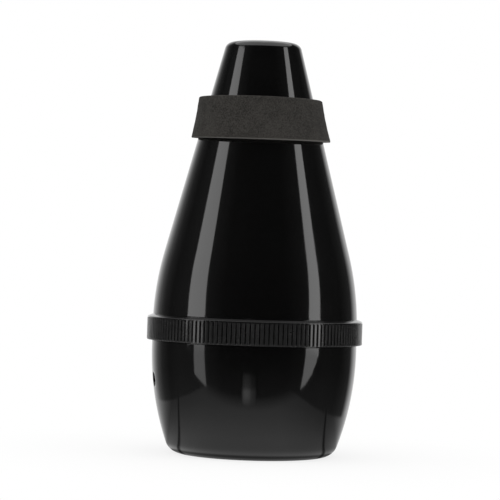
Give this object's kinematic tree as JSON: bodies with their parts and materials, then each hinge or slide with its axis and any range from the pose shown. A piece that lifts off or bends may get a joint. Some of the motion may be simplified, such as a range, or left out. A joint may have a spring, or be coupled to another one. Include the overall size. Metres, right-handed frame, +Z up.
{
  "type": "trumpet practice mute",
  "caption": "Pear-shaped practice mute: a hollow cone with a foam neck ring, closed by a rounded cup that a knurled union ring screws on.",
  "frame": {"origin": "centre of the flat base that the mute stands on", "axes": "+Z up along the mute's axis from the base to the mouth, -Y towards the viewer of the picture"},
  "size_m": [0.0794, 0.0794, 0.152],
  "materials": {
    "shell": "injection-moulded ABS, high-gloss black",
    "ring": "injection-moulded ABS, ribbed, semi-gloss black",
    "neck_foam": "cut closed-cell EVA foam, matte charcoal",
    "inner_plastic": "moulded black plastic, satin",
    "damping_foam": "open-cell polyurethane foam, charcoal",
    "seal": "black rubber, matte"
  },
  "bodies": {
    "cup": {"rear_cup": "shell", "seal_gasket": "seal", "rear_damping_foam": "damping_foam"},
    "union_ring": {"knurled_ring": "ring"},
    "cone": {"front_cone": "shell", "neck_foam_ring": "neck_foam", "air_tube": "inner_plastic", "baffle_plate": "inner_plastic", "front_damping_foam": "damping_foam"}
  },
  "joints": [
    {"name": "ring_turn", "type": "hinge", "parent": "cup", "child": "union_ring", "pos_m": [0, 0, 0.0462], "axis": [0, 0, -1], "range_deg": [0, 720]},
    {"name": "front_lift", "type": "slide", "parent": "cup", "child": "cone", "axis": [0, 0, 1], "range_m": [0, 0.0042]}
  ],
  "couplings": [
    {"joint": "ring_turn", "follows": "front_lift", "rad_per_m": 2991.9}
  ]
}
